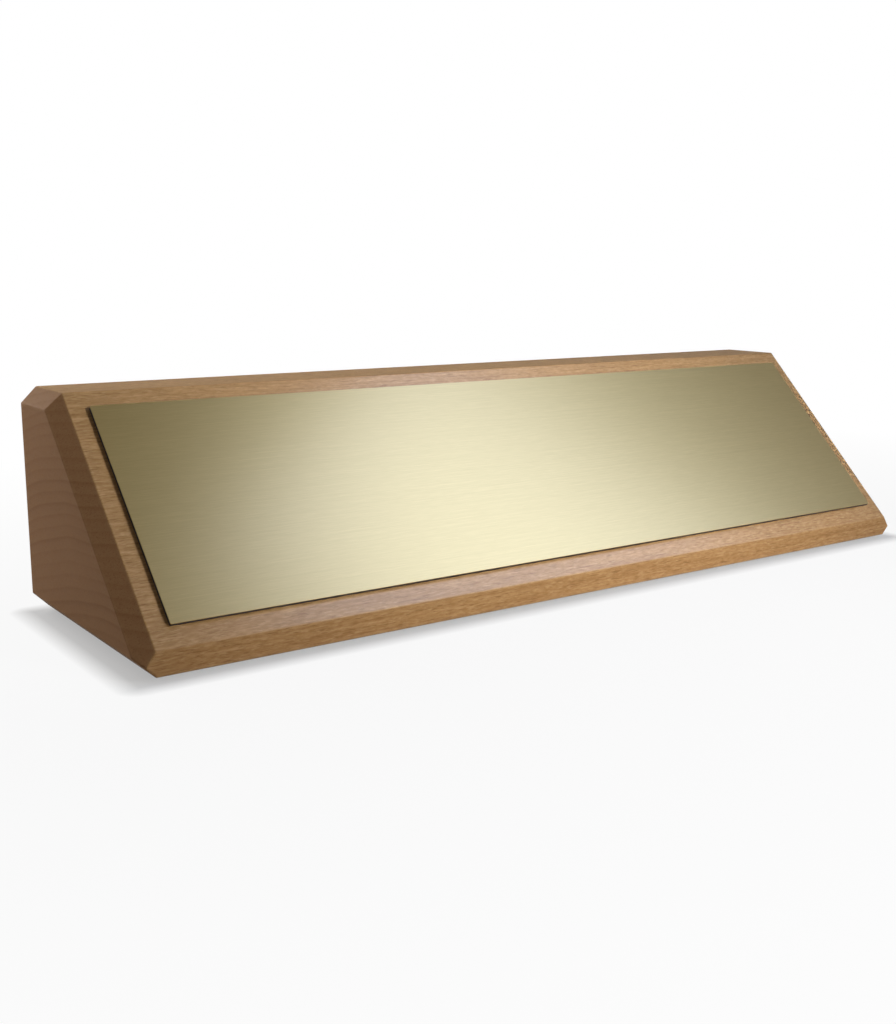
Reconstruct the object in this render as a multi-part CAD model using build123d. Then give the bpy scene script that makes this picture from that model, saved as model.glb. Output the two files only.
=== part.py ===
"""Desk name plate: a bevelled hardwood wedge with a two-ply engraving plate taped to its sloped face.

Frame: X runs along the length, the sloped face looks toward -Y, and +Z is up.
The origin is at desk level, under the middle of the block. Lengths are in millimetres.
"""
import math
import os

from build123d import *

# Engraving plate: a thin cap layer on a thicker core
PLATE_LENGTH = 203.2
PLATE_WIDTH = 50.8
CORE_THICKNESS = 0.65
CAP_THICKNESS = 0.15
PLATE_CORNER_RADIUS = 0.3

# Wedge block: a short upright nose, a slope with a margin of wood round the plate, and a flat top
END_MARGIN = 7.3
SIDE_MARGIN = 4.5
SLOPE_ANGLE = math.radians(45.0)
NOSE_HEIGHT = 4.9
TOP_FLAT = 16.6

# Bevel along the long edges of each end, and the sanded edges
BEVEL = 3.3
EASED_RADIUS = 0.5

# Double-sided tape, one strip along each long side of the plate
TAPE_WIDTH = 12.7
TAPE_THICKNESS = 0.25
TAPE_INSET_FROM_ENDS = 5.0
TAPE_INSET_FROM_SIDES = 4.0

# Felt pads under the four corners of the base
PAD_DIAMETER = 12.0
PAD_THICKNESS = 1.0
PAD_INSET_FROM_ENDS = 6.0
PAD_INSET_FROM_SIDES = 5.0

# Sizes, levels and faces that the pieces share
BLOCK_LENGTH = PLATE_LENGTH + 2 * END_MARGIN
SLOPE_LENGTH = PLATE_WIDTH + 2 * SIDE_MARGIN
BLOCK_DEPTH = SLOPE_LENGTH * math.cos(SLOPE_ANGLE) + TOP_FLAT
BASE_Z = PAD_THICKNESS
NOSE_TOP_Z = BASE_Z + NOSE_HEIGHT
TOP_Z = NOSE_TOP_Z + SLOPE_LENGTH * math.sin(SLOPE_ANGLE)
FRONT_Y = -BLOCK_DEPTH / 2
BACK_Y = BLOCK_DEPTH / 2
SLOPE_TOP_Y = BACK_Y - TOP_FLAT

# Local plane in the middle of the sloped face: x along the block, y up the slope, z out of the wood
SLOPE_PLANE = Plane(
    origin=(0, (FRONT_Y + SLOPE_TOP_Y) / 2, (NOSE_TOP_Z + TOP_Z) / 2),
    x_dir=(1, 0, 0),
    z_dir=(0, -math.sin(SLOPE_ANGLE), math.cos(SLOPE_ANGLE)),
)


def bevelled_end(block, end):
    """Bevel the slope, top and base edges of one end (X sign); its nose and back edges stay square."""
    top = Plane.XY.offset(TOP_Z)
    base = -Plane.XY.offset(BASE_Z)
    for face in (SLOPE_PLANE, top, base):
        on_edge = face.origin + Vector(end * (BLOCK_LENGTH / 2 - BEVEL), 0, 0)
        bevel = Plane(origin=on_edge, z_dir=face.z_dir + Vector(end, 0, 0))
        block = split(block, bisect_by=bevel, keep=Keep.BOTTOM)
    return block


def wedge_block():
    """Extrude the side outline along the length, bevel both ends, then ease every edge."""
    outline = Polyline(
        (FRONT_Y, BASE_Z),
        (FRONT_Y, NOSE_TOP_Z),
        (SLOPE_TOP_Y, TOP_Z),
        (BACK_Y, TOP_Z),
        (BACK_Y, BASE_Z),
        close=True,
    )
    block = extrude(Plane.YZ * make_face(outline), amount=BLOCK_LENGTH / 2, both=True)
    block = bevelled_end(block, 1)
    block = bevelled_end(block, -1)
    return fillet(block.edges(), EASED_RADIUS)


def plate_layer(height_above_wood, thickness):
    """One layer of the plate, lying parallel to the sloped face."""
    sheet = RectangleRounded(PLATE_LENGTH, PLATE_WIDTH, PLATE_CORNER_RADIUS)
    return SLOPE_PLANE.offset(height_above_wood) * extrude(sheet, amount=thickness)


def tape_strip(side):
    """A strip of tape on the wood, along the plate's upper (side 1) or lower (side -1) edge."""
    strip = Rectangle(PLATE_LENGTH - 2 * TAPE_INSET_FROM_ENDS, TAPE_WIDTH)
    centre = PLATE_WIDTH / 2 - TAPE_INSET_FROM_SIDES - TAPE_WIDTH / 2
    return SLOPE_PLANE * Pos(0, side * centre, 0) * extrude(strip, amount=TAPE_THICKNESS)


def felt_pad(end, side):
    """A felt disc under one corner of the base, at the given end (X sign) and side (Y sign)."""
    x = BLOCK_LENGTH / 2 - PAD_INSET_FROM_ENDS - PAD_DIAMETER / 2
    y = BLOCK_DEPTH / 2 - PAD_INSET_FROM_SIDES - PAD_DIAMETER / 2
    return Pos(end * x, side * y, 0) * extrude(Circle(PAD_DIAMETER / 2), amount=PAD_THICKNESS)


nodes = {
    "wedge_block": wedge_block(),
    "plate_core": plate_layer(TAPE_THICKNESS, CORE_THICKNESS),
    "plate_face": plate_layer(TAPE_THICKNESS + CORE_THICKNESS, CAP_THICKNESS),
    "tape_strip_upper": tape_strip(1),
    "tape_strip_lower": tape_strip(-1),
    "felt_pad_front_left": felt_pad(-1, -1),
    "felt_pad_front_right": felt_pad(1, -1),
    "felt_pad_back_left": felt_pad(-1, 1),
    "felt_pad_back_right": felt_pad(1, 1),
}

os.makedirs("parts", exist_ok=True)
for name, solid in nodes.items():
    export_step(solid, f"parts/{name}.step")
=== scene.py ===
"""Looks, light and camera for the desk name plate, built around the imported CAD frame."""

import math

import bmesh
import bpy
from mathutils import Matrix, Vector, noise


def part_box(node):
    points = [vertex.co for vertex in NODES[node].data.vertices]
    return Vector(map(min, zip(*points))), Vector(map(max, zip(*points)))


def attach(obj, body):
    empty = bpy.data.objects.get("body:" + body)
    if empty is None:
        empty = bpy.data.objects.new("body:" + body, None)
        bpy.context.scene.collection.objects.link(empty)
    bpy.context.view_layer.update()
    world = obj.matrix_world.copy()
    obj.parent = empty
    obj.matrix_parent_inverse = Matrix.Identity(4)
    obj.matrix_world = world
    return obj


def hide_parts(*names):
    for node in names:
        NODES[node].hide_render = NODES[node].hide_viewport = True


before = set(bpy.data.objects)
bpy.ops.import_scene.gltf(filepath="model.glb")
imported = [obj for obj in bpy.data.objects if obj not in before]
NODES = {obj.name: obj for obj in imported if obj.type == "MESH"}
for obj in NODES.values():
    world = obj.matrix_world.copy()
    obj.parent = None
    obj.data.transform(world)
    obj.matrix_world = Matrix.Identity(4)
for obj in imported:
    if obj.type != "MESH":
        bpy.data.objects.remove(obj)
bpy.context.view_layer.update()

MM = 0.001
WHITE = (1.0, 1.0, 1.0, 1.0)

# Camera, as fitted to the photograph's edges and corners
PHOTO_LONG_SIDE_PX = 1024
SENSOR_MM = 36.0
FOCAL_PX = 1243.0
CAMERA_AT = Vector((-187.0, -230.6, 74.0)) * MM
CAMERA_YAW = math.radians(35.78)
CAMERA_PITCH = math.radians(11.39)
CAMERA_ROLL = math.radians(-0.32)
CAMERA_CLIP_START = 0.01

# Floor, in metres: how white it looks by the distance from the block
FLOOR_HALF_SIZE = 6.0
FLOOR_COLOUR = (0.45, 0.45, 0.45, 1.0)
# Contact band: painted contact shade along the block's footprint
FLOOR_CONTACT_SHADE_WIDTH = 0.005
FLOOR_FADE_FROM = 0.02
FLOOR_FADE_TO = 0.20
FLOOR_WHITE_IN_CONTACT_SHADE = 0.40
FLOOR_WHITE_NEAR = 0.92

# Room: the colour that lights the object, and the parts that shiny surfaces mirror, by direction
ROOM_COLOUR = (0.108, 0.092, 0.074, 1.0)
ROOM_SEEN_COLOUR = (0.165, 0.143, 0.103, 1.0)
HORIZON_WHITE_BELOW_Z = math.sin(math.radians(12))
HORIZON_GONE_ABOVE_Z = math.sin(math.radians(15))
FRONT_WALL_FROM_Y = -0.35
FRONT_WALL_FULL_Y = -0.80
FRONT_WALL_WHITE = 0.5

# Growth rings, in millimetres: late wood by the share of a year, round a pith far below the block
RING_SPACING_MM = 2.3
RING_WANDER_MM = 3.0
PITH_MM = Vector((0.0, -32.0, -240.0))
LATE_WOOD_IN_YEAR = ((0.0, 0.0), (0.55, 0.25), (0.86, 1.0), (1.0, 0.0))

# Wood colours: the fibres, then the marks on side grain and on end grain
DARK_FIBRE = (0.31, 0.172, 0.070)
MID_FIBRE = (0.44, 0.262, 0.111)
PALE_FIBRE = (0.54, 0.343, 0.159)
LATE_WOOD = (0.29, 0.15, 0.058)
BLOTCH = (0.47, 0.27, 0.12)
PALE_FLECK = (0.64, 0.43, 0.21)
DARK_MOTTLE = (0.28, 0.148, 0.055)
PORE = (0.19, 0.095, 0.037)
END_EARLY_WOOD = (0.300, 0.161, 0.078)
END_LATE_WOOD = (0.252, 0.130, 0.060)
END_BLOTCH = (0.24, 0.12, 0.055)
END_PORE = (0.17, 0.085, 0.04)
# Nose and back tint: partly a real tone of the sawn faces, partly painted shade
NOSE_AND_BACK_SHADE_TINT = (0.85, 0.80, 0.75)
# Paler edge colour: partly rubbed wear, partly a painted highlight
RUBBED_AND_LIT_EDGE = (0.62, 0.42, 0.22)
RUBBED_AND_LIT_WIDTH_MM = 1.2

# Plate colours
GOLD_DARK_LINE = (0.655, 0.510, 0.202)
GOLD_PALE_LINE = (0.757, 0.596, 0.246)
GOLD_STREAK = (0.626, 0.485, 0.187)
CORE_DARK = (0.010, 0.009, 0.008)
CORE_PALE = (0.030, 0.026, 0.022)

# Tape and felt colours
TAPE_DARK = (0.62, 0.58, 0.48)
TAPE_PALE = (0.74, 0.70, 0.60)
FELT_DARK = (0.020, 0.018, 0.017)
FELT_PALE = (0.075, 0.066, 0.060)

# Felt pad: its upper half profile, as shares of the radius and of half the thickness, and its fraying
PAD_SPOKES = 72
PAD_PROFILE = ((0.0, 1.0), (0.45, 1.0), (0.80, 0.98), (0.95, 0.86), (0.99, 0.45), (0.995, 0.0))
FRAY_SHARE = 0.012
FRAY_WAVES = 9.0
FRAY_SHIFT_PER_M = 50


class Shader:
    """A node material with one Principled shader, and short calls for the nodes that feed it."""

    def __init__(self, name):
        self.material = bpy.data.materials.new(name)
        self.material.use_nodes = True
        self.tree = self.material.node_tree
        self.principled = self.tree.nodes["Principled BSDF"]
        self.coordinates = self.add("ShaderNodeTexCoord")

    def add(self, kind, *inputs, **settings):
        """Add a node, set its properties, then fill its inputs in order with values or other sockets."""
        node = self.tree.nodes.new(kind)
        for key, value in settings.items():
            setattr(node, key, value)
        for socket, value in zip([s for s in node.inputs if s.enabled], inputs):
            self.fill(socket, value)
        return node

    def fill(self, socket, value):
        """Link a socket, or set its constant; None leaves it as it is."""
        if isinstance(value, bpy.types.NodeSocket):
            self.tree.links.new(value, socket)
        elif value is not None:
            socket.default_value = value

    def set(self, **inputs):
        """Fill the Principled shader's inputs by name, with underscores for spaces."""
        for name, value in inputs.items():
            self.fill(self.principled.inputs[name.replace("_", " ")], value)

    def math(self, operation, a, b=None):
        """One number from one or two numbers."""
        return self.add("ShaderNodeMath", a, b, operation=operation).outputs[0]

    def vector(self, operation, a, b=None):
        """A vector from one or two vectors."""
        return self.add("ShaderNodeVectorMath", a, b, operation=operation).outputs[0]

    def measure(self, operation, a, b=None):
        """One number from one or two vectors."""
        return self.add("ShaderNodeVectorMath", a, b, operation=operation).outputs["Value"]

    def stretched(self, per_mm):
        """Object coordinates with a frequency per millimetre along each axis."""
        return self.vector("MULTIPLY", self.coordinates.outputs["Object"], Vector(per_mm) / MM)

    def noise(self, per_mm, detail=2.0, roughness=0.5, distortion=0.0):
        """Noise from 0 to 1, with a frequency per millimetre along each axis."""
        node = self.add("ShaderNodeTexNoise")
        self.fill(node.inputs["Vector"], self.stretched(per_mm))
        self.fill(node.inputs["Scale"], 1.0)
        self.fill(node.inputs["Detail"], detail)
        self.fill(node.inputs["Roughness"], roughness)
        self.fill(node.inputs["Distortion"], distortion)
        return node.outputs["Fac"]

    def remap(self, value, low, high, to_low=0.0, to_high=1.0):
        """A range of a value stretched to another range, and held at its ends."""
        node = self.add("ShaderNodeMapRange", value, low, high, to_low, to_high)
        return node.outputs["Result"]

    def ramp(self, value, stops):
        """Colours at positions along a value."""
        node = self.add("ShaderNodeValToRGB", value)
        elements = node.color_ramp.elements
        while len(elements) < len(stops):
            elements.new(0.5)
        for element, (position, colour) in zip(elements, stops):
            element.position = position
            element.color = (*colour, 1.0)
        return node.outputs["Color"]

    def mix(self, factor, a, b, blend="MIX"):
        """One colour turning into another by a factor."""
        node = self.tree.nodes.new("ShaderNodeMix")
        node.data_type = "RGBA"
        node.blend_type = blend
        self.fill(node.inputs["Factor"], factor)
        for name, colour in (("A", a), ("B", b)):
            socket = [s for s in node.inputs if s.name == name and s.type == "RGBA"][0]
            self.fill(socket, (*colour, 1.0) if isinstance(colour, tuple) else colour)
        return [s for s in node.outputs if s.type == "RGBA"][0]

    def bump(self, height, strength, distance_mm):
        """A normal that follows a height."""
        node = self.add("ShaderNodeBump")
        self.fill(node.inputs["Strength"], strength)
        self.fill(node.inputs["Distance"], distance_mm * MM)
        self.fill(node.inputs["Height"], height)
        return node.outputs["Normal"]


def growth_rings(shader):
    """Late wood from 0 to 1, in rings that wander a little and differ from year to year."""
    wander = shader.noise((0.005, 0.016, 0.016))
    wander_mm = shader.remap(wander, 0.2, 0.8, -RING_WANDER_MM, RING_WANDER_MM)
    from_pith = shader.vector("SUBTRACT", shader.stretched((0.0, 1.0, 1.0)), PITH_MM)
    radius = shader.math("ADD", shader.measure("LENGTH", from_pith), wander_mm)
    years = shader.math("DIVIDE", radius, RING_SPACING_MM)
    stops = [(position, (level,) * 3) for position, level in LATE_WOOD_IN_YEAR]
    ring = shader.ramp(shader.math("FRACT", years), stops)
    weather = shader.add("ShaderNodeTexWhiteNoise", shader.math("FLOOR", years), noise_dimensions="1D")
    strength = shader.remap(weather.outputs["Value"], 0.0, 1.0, 0.4, 1.1)
    return shader.math("MULTIPLY", ring, strength)


def alder_wood():
    """Straight-grained alder under a satin lacquer: growth rings, fibres and pores, darker on end grain."""
    shader = Shader("alder_wood")
    late_wood = growth_rings(shader)
    fibres = shader.noise((0.035, 1.3, 1.3), detail=5.0, roughness=0.62)
    pores = shader.noise((0.30, 3.4, 3.4), detail=3.0, roughness=0.6)
    pore_dashes = shader.remap(pores, 0.55, 0.66)
    blotches = shader.noise((0.012, 0.05, 0.05))
    mottle = shader.noise((0.55, 1.7, 1.7), detail=3.0, roughness=0.6)
    flecks = shader.noise((0.42, 2.4, 2.4), detail=2.0, roughness=0.6)

    # Side grain
    colour = shader.ramp(fibres, [(0.25, DARK_FIBRE), (0.52, MID_FIBRE), (0.78, PALE_FIBRE)])
    colour = shader.mix(shader.math("MULTIPLY", late_wood, 0.30), colour, LATE_WOOD)
    colour = shader.mix(shader.remap(blotches, 0.35, 0.7, to_high=0.35), colour, BLOTCH)
    colour = shader.mix(shader.remap(flecks, 0.50, 0.66, to_high=0.34), colour, PALE_FLECK)
    colour = shader.mix(shader.remap(mottle, 0.42, 0.64, to_high=0.46), colour, DARK_MOTTLE)
    colour = shader.mix(shader.math("MULTIPLY", pore_dashes, 0.55), colour, PORE)

    # End grain, on the faces that look along the block
    normal = shader.add("ShaderNodeSeparateXYZ", shader.coordinates.outputs["Normal"])
    along = shader.math("ABSOLUTE", normal.outputs["X"])
    end_colour = shader.mix(late_wood, END_EARLY_WOOD, END_LATE_WOOD)
    end_colour = shader.mix(shader.remap(blotches, 0.35, 0.7, to_high=0.25), end_colour, END_BLOTCH)
    end_colour = shader.mix(shader.remap(pores, 0.5, 0.7, to_high=0.35), end_colour, END_PORE)
    colour = shader.mix(shader.remap(along, 0.35, 0.75), colour, end_colour)

    # Nose and back painted darker and redder: partly a real tone of the sawn faces, partly painted shade
    # that dims the nose
    across = shader.math("ABSOLUTE", normal.outputs["Y"])
    nose_and_back_shaded_colour = shader.mix(1.0, colour, NOSE_AND_BACK_SHADE_TINT, "MULTIPLY")
    colour = shader.mix(shader.remap(across, 0.80, 0.97), colour, nose_and_back_shaded_colour)

    # Edges painted paler: partly rubbed wear, partly a painted highlight along the eased edges
    rounded = shader.add("ShaderNodeBevel", RUBBED_AND_LIT_WIDTH_MM * MM, samples=6).outputs["Normal"]
    flat = shader.add("ShaderNodeNewGeometry").outputs["Normal"]
    rubbed_and_lit = shader.remap(shader.measure("DOT_PRODUCT", rounded, flat), 0.99, 0.90)
    colour = shader.mix(shader.math("MULTIPLY", rubbed_and_lit, 0.22), colour, RUBBED_AND_LIT_EDGE)

    # Lacquer: full on the slope, thin on the nose and the top, none on the ends
    upward = normal.outputs["Z"]
    above_nose = shader.remap(upward, 0.58, 0.69, 0.1, 1.0)
    below_top = shader.remap(upward, 0.75, 0.95, 1.0, 0.03)
    off_ends = shader.remap(along, 0.2, 0.6, 1.0, 0.0)
    lacquer = shader.math("MULTIPLY", off_ends, shader.math("MINIMUM", above_nose, below_top))

    height = shader.math("SUBTRACT", fibres, shader.math("MULTIPLY", pore_dashes, 0.8))
    shader.set(
        Base_Color=colour,
        Roughness=shader.remap(fibres, 0.3, 0.7, 0.42, 0.54),
        Normal=shader.bump(height, strength=0.25, distance_mm=0.06),
        Specular_IOR_Level=0.012,
        Coat_Weight=lacquer,
        Coat_Roughness=0.23,
        Coat_IOR=1.7,
    )
    return shader.material


def brushed_gold():
    """The plate's metallised cap layer, brushed along its length."""
    shader = Shader("brushed_gold")
    lines = shader.noise((0.024, 6.0, 6.0), detail=4.0, roughness=0.7)
    streaks = shader.noise((0.22, 5.0, 5.0), detail=3.0, roughness=0.6)
    scratches = shader.noise((0.03, 11.0, 11.0), detail=2.0, roughness=0.6)
    tone = shader.ramp(lines, [(0.3, GOLD_DARK_LINE), (0.7, GOLD_PALE_LINE)])
    tone = shader.mix(shader.remap(streaks, 0.35, 0.65, to_high=0.5), tone, GOLD_STREAK)
    along_plate = shader.add("ShaderNodeCombineXYZ", 1.0, 0.0, 0.0).outputs[0]
    shader.set(
        Base_Color=tone,
        Metallic=1.0,
        Roughness=shader.remap(lines, 0.3, 0.7, 0.32, 0.38),
        Anisotropic=0.4,
        Anisotropic_Rotation=0.25,
        Tangent=along_plate,
        Normal=shader.bump(scratches, strength=0.08, distance_mm=0.02),
        Coat_Weight=1.0,
        Coat_Roughness=0.26,
        Coat_IOR=1.9,
    )
    return shader.material


def black_core():
    """The plate's black core layer, with the fine marks of the saw on its cut edge."""
    shader = Shader("black_core")
    marks = shader.noise((2.2, 0.6, 0.6), detail=3.0, roughness=0.6)
    shader.set(
        Base_Color=shader.ramp(marks, [(0.3, CORE_DARK), (0.75, CORE_PALE)]),
        Roughness=shader.remap(marks, 0.3, 0.7, 0.42, 0.60),
        Normal=shader.bump(marks, strength=0.3, distance_mm=0.05),
    )
    return shader.material


def adhesive_tape():
    """Cream double-sided tape with a faint crepe."""
    shader = Shader("adhesive_tape")
    crepe = shader.noise((0.9, 0.5, 0.5), detail=3.0)
    shader.set(
        Base_Color=shader.ramp(crepe, [(0.3, TAPE_DARK), (0.7, TAPE_PALE)]),
        Roughness=shader.remap(crepe, 0.3, 0.7, 0.5, 0.7),
        Normal=shader.bump(crepe, strength=0.2, distance_mm=0.03),
    )
    return shader.material


def pressed_felt():
    """Dark pressed felt: matted fibres with a soft nap."""
    shader = Shader("pressed_felt")
    mat = shader.noise((1.6, 1.6, 1.6), detail=5.0, roughness=0.7, distortion=1.4)
    shader.set(
        Base_Color=shader.ramp(mat, [(0.3, FELT_DARK), (0.7, FELT_PALE)]),
        Roughness=0.95,
        Sheen_Weight=0.4,
        Sheen_Roughness=0.6,
        Normal=shader.bump(mat, strength=0.8, distance_mm=0.15),
    )
    return shader.material


def dress(node_name, material):
    """Give a CAD node its finish."""
    slots = NODES[node_name].data.materials
    slots.clear()
    slots.append(material)


def felt_ring(mesh, radius, height, level, centre):
    """One frayed ring of a felt disc, or a single point where its radius is 0."""
    lift = Vector((0, 0, height))
    if radius == 0.0:
        return [mesh.verts.new(lift)]
    ring = []
    for spoke in range(PAD_SPOKES):
        angle = 2 * math.pi * spoke / PAD_SPOKES
        direction = Vector((math.cos(angle), math.sin(angle), 0.0))
        place = direction * FRAY_WAVES + Vector((0, 0, level)) + centre * FRAY_SHIFT_PER_M
        fray = 1.0 - FRAY_SHARE * abs(noise.noise(place))
        ring.append(mesh.verts.new(direction * radius * fray + lift))
    return ring


def join_rings(mesh, inner, outer):
    """Fill the band between two rings, or between a ring and a point."""
    for spoke in range(PAD_SPOKES):
        after = (spoke + 1) % PAD_SPOKES
        if len(inner) == 1:
            mesh.faces.new((inner[0], outer[spoke], outer[after]))
        elif len(outer) == 1:
            mesh.faces.new((inner[spoke], outer[0], inner[after]))
        else:
            mesh.faces.new((inner[spoke], outer[spoke], outer[after], inner[after]))


def felt_pad(node_name, material):
    """A felt disc with a soft, slightly frayed rim, in the place of its CAD solid."""
    low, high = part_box(node_name)
    centre = (low + high) / 2
    radius = (high.x - low.x) / 2
    half = (high.z - low.z) / 2
    lower_profile = [(share, -level) for share, level in reversed(PAD_PROFILE[:-1])]
    mesh = bmesh.new()
    rings = []
    for share, level in (*PAD_PROFILE, *lower_profile):
        rings.append(felt_ring(mesh, radius * share, level * half, level, centre))
    for inner, outer in zip(rings, rings[1:]):
        join_rings(mesh, inner, outer)
    bmesh.ops.recalc_face_normals(mesh, faces=mesh.faces)
    for face in mesh.faces:
        face.smooth = True
    data = bpy.data.meshes.new(node_name + "_felt")
    mesh.to_mesh(data)
    mesh.free()
    data.materials.append(material)
    pad = bpy.data.objects.new(node_name + "_felt", data)
    pad.location = centre
    bpy.context.scene.collection.objects.link(pad)
    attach(pad, "root")
    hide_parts(node_name)


def photo_camera():
    """The camera that sees the block as the photograph does."""
    forward = Vector((
        math.sin(CAMERA_YAW) * math.cos(CAMERA_PITCH),
        math.cos(CAMERA_YAW) * math.cos(CAMERA_PITCH),
        -math.sin(CAMERA_PITCH),
    ))
    level_right = Vector((math.cos(CAMERA_YAW), -math.sin(CAMERA_YAW), 0.0))
    level_down = forward.cross(level_right)
    right = level_right * math.cos(CAMERA_ROLL) + level_down * math.sin(CAMERA_ROLL)
    down = level_down * math.cos(CAMERA_ROLL) - level_right * math.sin(CAMERA_ROLL)
    data = bpy.data.cameras.new("photo_camera")
    data.sensor_width = SENSOR_MM
    data.lens = FOCAL_PX * SENSOR_MM / PHOTO_LONG_SIDE_PX
    data.clip_start = CAMERA_CLIP_START
    camera = bpy.data.objects.new("photo_camera", data)
    axes = Matrix((right, -down, -forward)).transposed()
    camera.matrix_world = Matrix.Translation(CAMERA_AT) @ axes.to_4x4()
    bpy.context.scene.collection.objects.link(camera)
    bpy.context.scene.camera = camera


def largest(tree, first, *others):
    """The largest of several values."""
    for other in others:
        node = tree.nodes.new("ShaderNodeMath")
        node.operation = "MAXIMUM"
        tree.links.new(first, node.inputs[0])
        tree.links.new(other, node.inputs[1])
        first = node.outputs[0]
    return first


def seen_directly(tree):
    """1 for camera, glossy and transmission rays, and 0 for the rays that light the object."""
    path = tree.nodes.new("ShaderNodeLightPath").outputs
    return largest(tree, path["Is Camera Ray"], path["Is Glossy Ray"], path["Is Transmission Ray"])


def studio_floor():
    """A large pale floor that keeps the shadow near the object, with painted contact shade along the block,
    and goes to plain white further out.
    """
    mesh = bmesh.new()
    bmesh.ops.create_grid(mesh, x_segments=1, y_segments=1, size=FLOOR_HALF_SIZE)
    data = bpy.data.meshes.new("floor")
    mesh.to_mesh(data)
    mesh.free()
    shader = Shader("pale_floor")
    shader.set(Base_Color=FLOOR_COLOUR, Roughness=0.9, Specular_IOR_Level=0.1)

    # Distance from the block's footprint, which is centred on the origin
    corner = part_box("wedge_block")[1]
    one_side = shader.vector("ABSOLUTE", shader.coordinates.outputs["Object"])
    outside = shader.vector("SUBTRACT", one_side, corner)
    outside = shader.vector("MAXIMUM", outside, (0.0, 0.0, 0.0))
    distance = shader.measure("LENGTH", outside)

    # Less white along the block's footprint: painted contact shade, darker there also where no shadow falls
    near = shader.remap(distance, 0.0, FLOOR_CONTACT_SHADE_WIDTH, FLOOR_WHITE_IN_CONTACT_SHADE, FLOOR_WHITE_NEAR)
    far = shader.remap(distance, FLOOR_FADE_FROM, FLOOR_FADE_TO, 0.0, 1.0 - FLOOR_WHITE_NEAR)
    share = shader.math("ADD", near, far)
    white = shader.add("ShaderNodeEmission", WHITE, 1.0)
    blend = shader.tree.nodes.new("ShaderNodeMixShader")
    shader.fill(blend.inputs[0], shader.math("MULTIPLY", share, seen_directly(shader.tree)))
    shader.fill(blend.inputs[1], shader.principled.outputs[0])
    shader.fill(blend.inputs[2], white.outputs[0])
    shader.fill(shader.tree.nodes["Material Output"].inputs["Surface"], blend.outputs[0])
    data.materials.append(shader.material)
    floor = bpy.data.objects.new("floor", data)
    bpy.context.scene.collection.objects.link(floor)


def soft_box(
    name,
    at,
    aim,
    along,
    length,
    width,
    radiance,
    spread=180.0,
    colour=(1.0, 1.0, 1.0),
    mirrored=True,
):
    """A rectangular soft box at one point, facing another, with its long side laid along a direction."""
    backward = (Vector(at) - Vector(aim)).normalized()
    short_side = backward.cross(Vector(along)).normalized()
    long_side = short_side.cross(backward)
    data = bpy.data.lights.new(name, "AREA")
    data.shape = "RECTANGLE"
    data.size = length
    data.size_y = width
    data.energy = radiance * math.pi * length * width
    data.color = colour
    data.spread = math.radians(spread)
    light = bpy.data.objects.new(name, data)
    axes = Matrix((long_side, short_side, backward)).transposed()
    light.matrix_world = Matrix.Translation(Vector(at)) @ axes.to_4x4()
    light.visible_camera = False
    light.visible_glossy = mirrored
    bpy.context.scene.collection.objects.link(light)


def studio_world():
    """A dim even room behind a white backdrop.

    Shiny surfaces mirror it a little paler, with a white horizon and a pale wall in front of the plate.
    """
    world = bpy.data.worlds.new("studio")
    bpy.context.scene.world = world
    world.use_nodes = True
    tree = world.node_tree
    coordinates = tree.nodes.new("ShaderNodeTexCoord")
    direction = tree.nodes.new("ShaderNodeSeparateXYZ")
    tree.links.new(coordinates.outputs["Generated"], direction.inputs[0])

    def share(axis, none_at, full_at, most):
        """How much of the white shows, by one component of the direction."""
        node = tree.nodes.new("ShaderNodeMapRange")
        tree.links.new(direction.outputs[axis], node.inputs["Value"])
        node.inputs["From Min"].default_value = none_at
        node.inputs["From Max"].default_value = full_at
        node.inputs["To Max"].default_value = most
        return node.outputs["Result"]

    def blend(factor, a, b):
        """One colour or socket turning into another by a factor."""
        node = tree.nodes.new("ShaderNodeMix")
        node.data_type = "RGBA"
        tree.links.new(factor, node.inputs["Factor"])
        for socket, value in zip([s for s in node.inputs if s.type == "RGBA"], (a, b)):
            if isinstance(value, tuple):
                socket.default_value = value
            else:
                tree.links.new(value, socket)
        return [s for s in node.outputs if s.type == "RGBA"][0]

    horizon = share("Z", HORIZON_GONE_ABOVE_Z, HORIZON_WHITE_BELOW_Z, 1.0)
    wall = share("Y", FRONT_WALL_FROM_Y, FRONT_WALL_FULL_Y, FRONT_WALL_WHITE)
    backdrop = tree.nodes.new("ShaderNodeLightPath").outputs["Is Camera Ray"]
    white = largest(tree, backdrop, horizon, wall)
    seen = blend(white, ROOM_SEEN_COLOUR, WHITE)
    colour = blend(seen_directly(tree), ROOM_COLOUR, seen)
    background = tree.nodes["Background"]
    background.inputs["Strength"].default_value = 1.0
    tree.links.new(colour, background.inputs["Color"])


photo_camera()
felt = pressed_felt()
tape = adhesive_tape()
dress("wedge_block", alder_wood())
dress("plate_face", brushed_gold())
dress("plate_core", black_core())
for strip in ("tape_strip_upper", "tape_strip_lower"):
    dress(strip, tape)
for corner in ("front_left", "front_right", "back_left", "back_right"):
    felt_pad("felt_pad_" + corner, felt)

studio_floor()
studio_world()
soft_box(
    "strip_light",
    at=(0.243, -0.148, 0.329),
    aim=(-0.032, -0.024, 0.036),
    along=(-0.71, 0.75, 0.59),
    length=0.317,
    width=0.184,
    radiance=1.75,
    colour=(0.93, 1.09, 1.49),
)
soft_box(
    "front_light",
    at=(0.200, -0.43, 0.20),
    aim=(0.012, -0.01, 0.032),
    along=(1.0, 0.0, 0.0),
    length=0.16,
    width=0.16,
    radiance=2.0,
    spread=34.0,
    mirrored=False,
)
soft_box(
    "back_left_fill",
    at=(-0.18, 0.155, 0.13),
    aim=(-0.10, 0.0, 0.025),
    along=(0.7, 0.7, 0.0),
    length=0.18,
    width=0.18,
    radiance=3.4,
)

bpy.context.scene.view_settings.view_transform = "Standard"
